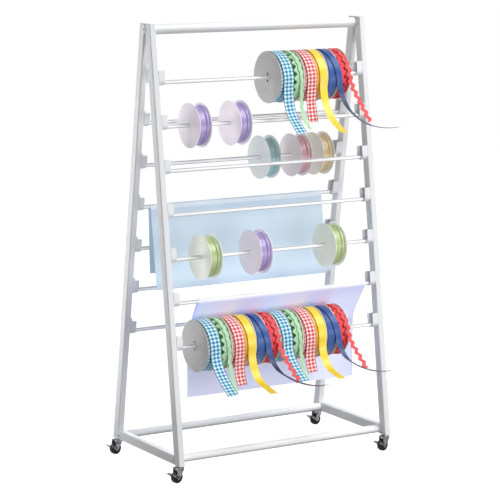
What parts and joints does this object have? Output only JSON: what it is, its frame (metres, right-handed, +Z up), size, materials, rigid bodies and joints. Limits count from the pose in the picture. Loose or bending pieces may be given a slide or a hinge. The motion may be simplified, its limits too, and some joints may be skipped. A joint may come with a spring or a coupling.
{
  "type": "ribbon rack",
  "caption": "Rolling white A-frame rack with leaning hook rows, lift-out steel rods, spinning ribbon spools, loose ribbon ends, draped sheets and braked swivel casters.",
  "frame": {"origin": "on the floor, under the middle of the four casters' swivel axes", "axes": "+Z up, +X along the rods to the right seen from the front, the front row of rods towards -Y"},
  "size_m": [0.8426, 0.7184, 1.4125],
  "materials": {
    "frame_white": "satin white powder coat",
    "hook_white": "satin white powder coat",
    "cap_white": "matte moulded",
    "bright_fastener": "bright zinc",
    "rod_white": "satin white powder coat",
    "caster_steel": "bright plated",
    "caster_pedal": "black enamel",
    "caster_wheel": "smooth black",
    "ribbon_gingham_blue": "woven",
    "ribbon_ricrac_green": "woven",
    "ribbon_gingham_red": "woven",
    "ribbon_satin_yellow": "woven",
    "ribbon_satin_navy": "woven",
    "ribbon_ricrac_red": "woven",
    "ribbon_satin_purple": "satin",
    "ribbon_satin_teal": "satin",
    "ribbon_satin_pink": "satin",
    "ribbon_satin_beige": "satin",
    "ribbon_satin_green": "satin",
    "ribbon_mixed": "woven",
    "sheet_light_blue": "fine plain weave",
    "sheet_pale_lavender": "fine plain weave"
  },
  "bodies": {
    "rack": {"leg_front_left": "frame_white", "leg_front_right": "frame_white", "leg_rear_left": "frame_white", "leg_rear_right": "frame_white", "base_rails": "frame_white", "leg_caps": "cap_white", "top_bar": "frame_white", "bottom_bars": "frame_white", "frame_bolts": "bright_fastener", "hooks": "hook_white", "caster_stems": "caster_steel"},
    "caster_front_left": {"caster_fork_front_left": "caster_steel"},
    "wheel_front_left": {"caster_wheel_front_left": "caster_wheel"},
    "pedal_front_left": {"caster_pedal_front_left": "caster_pedal"},
    "caster_front_right": {"caster_fork_front_right": "caster_steel"},
    "wheel_front_right": {"caster_wheel_front_right": "caster_wheel"},
    "pedal_front_right": {"caster_pedal_front_right": "caster_pedal"},
    "caster_rear_left": {"caster_fork_rear_left": "caster_steel"},
    "wheel_rear_left": {"caster_wheel_rear_left": "caster_wheel"},
    "pedal_rear_left": {"caster_pedal_rear_left": "caster_pedal"},
    "caster_rear_right": {"caster_fork_rear_right": "caster_steel"},
    "wheel_rear_right": {"caster_wheel_rear_right": "caster_wheel"},
    "pedal_rear_right": {"caster_pedal_rear_right": "caster_pedal"},
    "rod_front_1": {"rod_front_1": "rod_white", "ribbon_tails_r1": "ribbon_mixed"},
    "spool_r1_gingham_blue": {"spool_r1_gingham_blue": "ribbon_gingham_blue"},
    "spool_r1_ricrac_green": {"spool_r1_ricrac_green": "ribbon_ricrac_green"},
    "spool_r1_gingham_red": {"spool_r1_gingham_red": "ribbon_gingham_red"},
    "spool_r1_satin_yellow": {"spool_r1_satin_yellow": "ribbon_satin_yellow"},
    "spool_r1_satin_navy": {"spool_r1_satin_navy": "ribbon_satin_navy"},
    "spool_r1_ricrac_red": {"spool_r1_ricrac_red": "ribbon_ricrac_red"},
    "rod_front_2": {"rod_front_2": "rod_white"},
    "spool_r2_purple_a": {"spool_r2_purple_a": "ribbon_satin_purple"},
    "spool_r2_purple_b": {"spool_r2_purple_b": "ribbon_satin_purple"},
    "rod_front_3": {"rod_front_3": "rod_white"},
    "rod_front_4": {"rod_front_4": "rod_white"},
    "rod_front_5": {"rod_front_5": "rod_white"},
    "spool_r5_green_a": {"spool_r5_green_a": "ribbon_satin_green"},
    "spool_r5_purple": {"spool_r5_purple": "ribbon_satin_purple"},
    "spool_r5_green_b": {"spool_r5_green_b": "ribbon_satin_green"},
    "rod_front_6": {"rod_front_6": "rod_white", "sheet_lavender": "sheet_pale_lavender"},
    "rod_front_7": {"rod_front_7": "rod_white", "ribbon_tails_r7": "ribbon_mixed"},
    "spool_pair_r7_1": {"spool_pair_r7_1": "ribbon_mixed"},
    "spool_pair_r7_2": {"spool_pair_r7_2": "ribbon_mixed"},
    "spool_pair_r7_3": {"spool_pair_r7_3": "ribbon_mixed"},
    "spool_pair_r7_4": {"spool_pair_r7_4": "ribbon_mixed"},
    "spool_pair_r7_5": {"spool_pair_r7_5": "ribbon_mixed"},
    "spool_pair_r7_6": {"spool_pair_r7_6": "ribbon_mixed"},
    "rod_rear_2": {"rod_rear_2": "rod_white"},
    "rod_rear_3": {"rod_rear_3": "rod_white"},
    "spool_r3_teal": {"spool_r3_teal": "ribbon_satin_teal"},
    "spool_r3_pink": {"spool_r3_pink": "ribbon_satin_pink"},
    "spool_r3_beige": {"spool_r3_beige": "ribbon_satin_beige"},
    "rod_rear_4": {"rod_rear_4": "rod_white", "sheet_blue": "sheet_light_blue"},
    "rod_rear_5": {"rod_rear_5": "rod_white"},
    "rod_rear_6": {"rod_rear_6": "rod_white"},
    "rod_rear_7": {"rod_rear_7": "rod_white"}
  },
  "joints": [
    {"name": "caster_front_left_swivel", "type": "hinge", "parent": "rack", "child": "caster_front_left", "pos_m": [-0.3895, -0.202, 0.049], "axis": [0, 0, 1], "continuous": true},
    {"name": "caster_front_left_roll", "type": "hinge", "parent": "caster_front_left", "child": "wheel_front_left", "pos_m": [-0.40132, -0.20408, 0.019], "axis": [0.1736, -0.9848, 0], "continuous": true},
    {"name": "caster_front_left_brake", "type": "hinge", "parent": "caster_front_left", "child": "pedal_front_left", "pos_m": [-0.40132, -0.20408, 0.019], "axis": [0.1736, -0.9848, 0], "range_deg": [0, 18]},
    {"name": "caster_front_right_swivel", "type": "hinge", "parent": "rack", "child": "caster_front_right", "pos_m": [0.3895, -0.202, 0.049], "axis": [0, 0, 1], "continuous": true},
    {"name": "caster_front_right_roll", "type": "hinge", "parent": "caster_front_right", "child": "wheel_front_right", "pos_m": [0.37768, -0.20408, 0.019], "axis": [0.1736, -0.9848, 0], "continuous": true},
    {"name": "caster_front_right_brake", "type": "hinge", "parent": "caster_front_right", "child": "pedal_front_right", "pos_m": [0.37768, -0.20408, 0.019], "axis": [0.1736, -0.9848, 0], "range_deg": [0, 18]},
    {"name": "caster_rear_left_swivel", "type": "hinge", "parent": "rack", "child": "caster_rear_left", "pos_m": [-0.3895, 0.202, 0.049], "axis": [0, 0, 1], "continuous": true},
    {"name": "caster_rear_left_roll", "type": "hinge", "parent": "caster_rear_left", "child": "wheel_rear_left", "pos_m": [-0.40132, 0.19992, 0.019], "axis": [0.1736, -0.9848, 0], "continuous": true},
    {"name": "caster_rear_left_brake", "type": "hinge", "parent": "caster_rear_left", "child": "pedal_rear_left", "pos_m": [-0.40132, 0.19992, 0.019], "axis": [0.1736, -0.9848, 0], "range_deg": [0, 18]},
    {"name": "caster_rear_right_swivel", "type": "hinge", "parent": "rack", "child": "caster_rear_right", "pos_m": [0.3895, 0.202, 0.049], "axis": [0, 0, 1], "continuous": true},
    {"name": "caster_rear_right_roll", "type": "hinge", "parent": "caster_rear_right", "child": "wheel_rear_right", "pos_m": [0.37768, 0.19992, 0.019], "axis": [0.1736, -0.9848, 0], "continuous": true},
    {"name": "caster_rear_right_brake", "type": "hinge", "parent": "caster_rear_right", "child": "pedal_rear_right", "pos_m": [0.37768, 0.19992, 0.019], "axis": [0.1736, -0.9848, 0], "range_deg": [0, 18]},
    {"name": "rod_front_1_lift", "type": "slide", "parent": "rack", "child": "rod_front_1", "axis": [0, 0.1356, 0.9908], "range_m": [0, 0.043]},
    {"name": "spin_spool_r1_gingham_blue", "type": "hinge", "parent": "rod_front_1", "child": "spool_r1_gingham_blue", "pos_m": [0.0442, -0.04066, 1.23165], "axis": [1, 0, 0], "continuous": true},
    {"name": "spin_spool_r1_ricrac_green", "type": "hinge", "parent": "rod_front_1", "child": "spool_r1_ricrac_green", "pos_m": [0.0882, -0.04066, 1.23165], "axis": [1, 0, 0], "continuous": true},
    {"name": "spin_spool_r1_gingham_red", "type": "hinge", "parent": "rod_front_1", "child": "spool_r1_gingham_red", "pos_m": [0.1322, -0.04066, 1.23165], "axis": [1, 0, 0], "continuous": true},
    {"name": "spin_spool_r1_satin_yellow", "type": "hinge", "parent": "rod_front_1", "child": "spool_r1_satin_yellow", "pos_m": [0.1762, -0.04066, 1.23165], "axis": [1, 0, 0], "continuous": true},
    {"name": "spin_spool_r1_satin_navy", "type": "hinge", "parent": "rod_front_1", "child": "spool_r1_satin_navy", "pos_m": [0.2202, -0.04066, 1.23165], "axis": [1, 0, 0], "continuous": true},
    {"name": "spin_spool_r1_ricrac_red", "type": "hinge", "parent": "rod_front_1", "child": "spool_r1_ricrac_red", "pos_m": [0.2642, -0.04066, 1.23165], "axis": [1, 0, 0], "continuous": true},
    {"name": "rod_front_2_lift", "type": "slide", "parent": "rack", "child": "rod_front_2", "axis": [0, 0.1356, 0.9908], "range_m": [0, 0.043]},
    {"name": "spin_spool_r2_purple_a", "type": "hinge", "parent": "rod_front_2", "child": "spool_r2_purple_a", "pos_m": [-0.2542, -0.05927, 1.09565], "axis": [1, 0, 0], "continuous": true},
    {"name": "spin_spool_r2_purple_b", "type": "hinge", "parent": "rod_front_2", "child": "spool_r2_purple_b", "pos_m": [-0.1072, -0.05927, 1.09565], "axis": [1, 0, 0], "continuous": true},
    {"name": "rod_front_3_lift", "type": "slide", "parent": "rack", "child": "rod_front_3", "axis": [0, 0.1356, 0.9908], "range_m": [0, 0.043]},
    {"name": "rod_front_4_lift", "type": "slide", "parent": "rack", "child": "rod_front_4", "axis": [0, 0.1356, 0.9908], "range_m": [0, 0.043]},
    {"name": "rod_front_5_lift", "type": "slide", "parent": "rack", "child": "rod_front_5", "axis": [0, 0.1356, 0.9908], "range_m": [0, 0.043]},
    {"name": "spin_spool_r5_green_a", "type": "hinge", "parent": "rod_front_5", "child": "spool_r5_green_a", "pos_m": [-0.2472, -0.1151, 0.68765], "axis": [1, 0, 0], "continuous": true},
    {"name": "spin_spool_r5_purple", "type": "hinge", "parent": "rod_front_5", "child": "spool_r5_purple", "pos_m": [-0.0632, -0.1151, 0.68765], "axis": [1, 0, 0], "continuous": true},
    {"name": "spin_spool_r5_green_b", "type": "hinge", "parent": "rod_front_5", "child": "spool_r5_green_b", "pos_m": [0.2178, -0.1151, 0.68765], "axis": [1, 0, 0], "continuous": true},
    {"name": "rod_front_6_lift", "type": "slide", "parent": "rack", "child": "rod_front_6", "axis": [0, 0.1356, 0.9908], "range_m": [0, 0.043]},
    {"name": "rod_front_7_lift", "type": "slide", "parent": "rack", "child": "rod_front_7", "axis": [0, 0.1356, 0.9908], "range_m": [0, 0.043], "deforming": ["sheet_lavender"]},
    {"name": "spin_spool_pair_r7_1", "type": "hinge", "parent": "rod_front_7", "child": "spool_pair_r7_1", "pos_m": [-0.2642, -0.15232, 0.41565], "axis": [1, 0, 0], "continuous": true},
    {"name": "spin_spool_pair_r7_2", "type": "hinge", "parent": "rod_front_7", "child": "spool_pair_r7_2", "pos_m": [-0.1762, -0.15232, 0.41565], "axis": [1, 0, 0], "continuous": true},
    {"name": "spin_spool_pair_r7_3", "type": "hinge", "parent": "rod_front_7", "child": "spool_pair_r7_3", "pos_m": [-0.0882, -0.15232, 0.41565], "axis": [1, 0, 0], "continuous": true},
    {"name": "spin_spool_pair_r7_4", "type": "hinge", "parent": "rod_front_7", "child": "spool_pair_r7_4", "pos_m": [-0.0002, -0.15232, 0.41565], "axis": [1, 0, 0], "continuous": true},
    {"name": "spin_spool_pair_r7_5", "type": "hinge", "parent": "rod_front_7", "child": "spool_pair_r7_5", "pos_m": [0.0878, -0.15232, 0.41565], "axis": [1, 0, 0], "continuous": true},
    {"name": "spin_spool_pair_r7_6", "type": "hinge", "parent": "rod_front_7", "child": "spool_pair_r7_6", "pos_m": [0.1758, -0.15232, 0.41565], "axis": [1, 0, 0], "continuous": true},
    {"name": "rod_rear_2_lift", "type": "slide", "parent": "rack", "child": "rod_rear_2", "axis": [0, -0.1356, 0.9908], "range_m": [0, 0.043]},
    {"name": "rod_rear_3_lift", "type": "slide", "parent": "rack", "child": "rod_rear_3", "axis": [0, -0.1356, 0.9908], "range_m": [0, 0.043]},
    {"name": "spin_spool_r3_teal", "type": "hinge", "parent": "rod_rear_3", "child": "spool_r3_teal", "pos_m": [0.0878, 0.07788, 0.95965], "axis": [1, 0, 0], "continuous": true},
    {"name": "spin_spool_r3_pink", "type": "hinge", "parent": "rod_rear_3", "child": "spool_r3_pink", "pos_m": [0.2088, 0.07788, 0.95965], "axis": [1, 0, 0], "continuous": true},
    {"name": "spin_spool_r3_beige", "type": "hinge", "parent": "rod_rear_3", "child": "spool_r3_beige", "pos_m": [0.2948, 0.07788, 0.95965], "axis": [1, 0, 0], "continuous": true},
    {"name": "rod_rear_4_lift", "type": "slide", "parent": "rack", "child": "rod_rear_4", "axis": [0, -0.1356, 0.9908], "range_m": [0, 0.043]},
    {"name": "rod_rear_5_lift", "type": "slide", "parent": "rack", "child": "rod_rear_5", "axis": [0, -0.1356, 0.9908], "range_m": [0, 0.043]},
    {"name": "rod_rear_6_lift", "type": "slide", "parent": "rack", "child": "rod_rear_6", "axis": [0, -0.1356, 0.9908], "range_m": [0, 0.043]},
    {"name": "rod_rear_7_lift", "type": "slide", "parent": "rack", "child": "rod_rear_7", "axis": [0, -0.1356, 0.9908], "range_m": [0, 0.043]}
  ]
}
